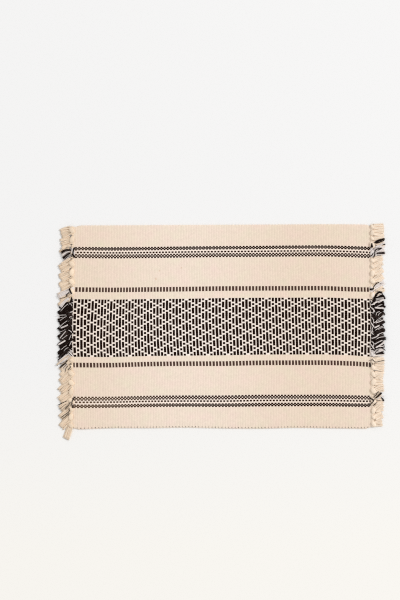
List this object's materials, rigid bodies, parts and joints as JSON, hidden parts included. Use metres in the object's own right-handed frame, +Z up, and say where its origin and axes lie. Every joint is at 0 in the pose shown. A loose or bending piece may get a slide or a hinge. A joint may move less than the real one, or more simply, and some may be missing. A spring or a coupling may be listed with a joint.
{
  "type": "fabric placemat",
  "caption": "Rectangular ribbed cotton table mat, woven in cream and black with a band of nested lozenges and chain stripes, with a knotted fringe along both short ends.",
  "frame": {"origin": "middle of the cloth's underside, where the mat rests on the table", "axes": "+X along the mat from the left fringe to the right one, +Y across it towards the upper selvedge, +Z up out of its face"},
  "size_m": [0.5333, 0.3554, 0.006],
  "materials": {
    "cotton_weave": "matt ribbed cotton weave, cream with a near-black woven pattern",
    "fringe_yarn": "matt twisted cotton yarn, cream, and near-black where the pattern's warp ends"
  },
  "bodies": {
    "root": {"cloth": "cotton_weave", "fringe_left": "fringe_yarn", "fringe_right": "fringe_yarn"}
  },
  "joints": []
}
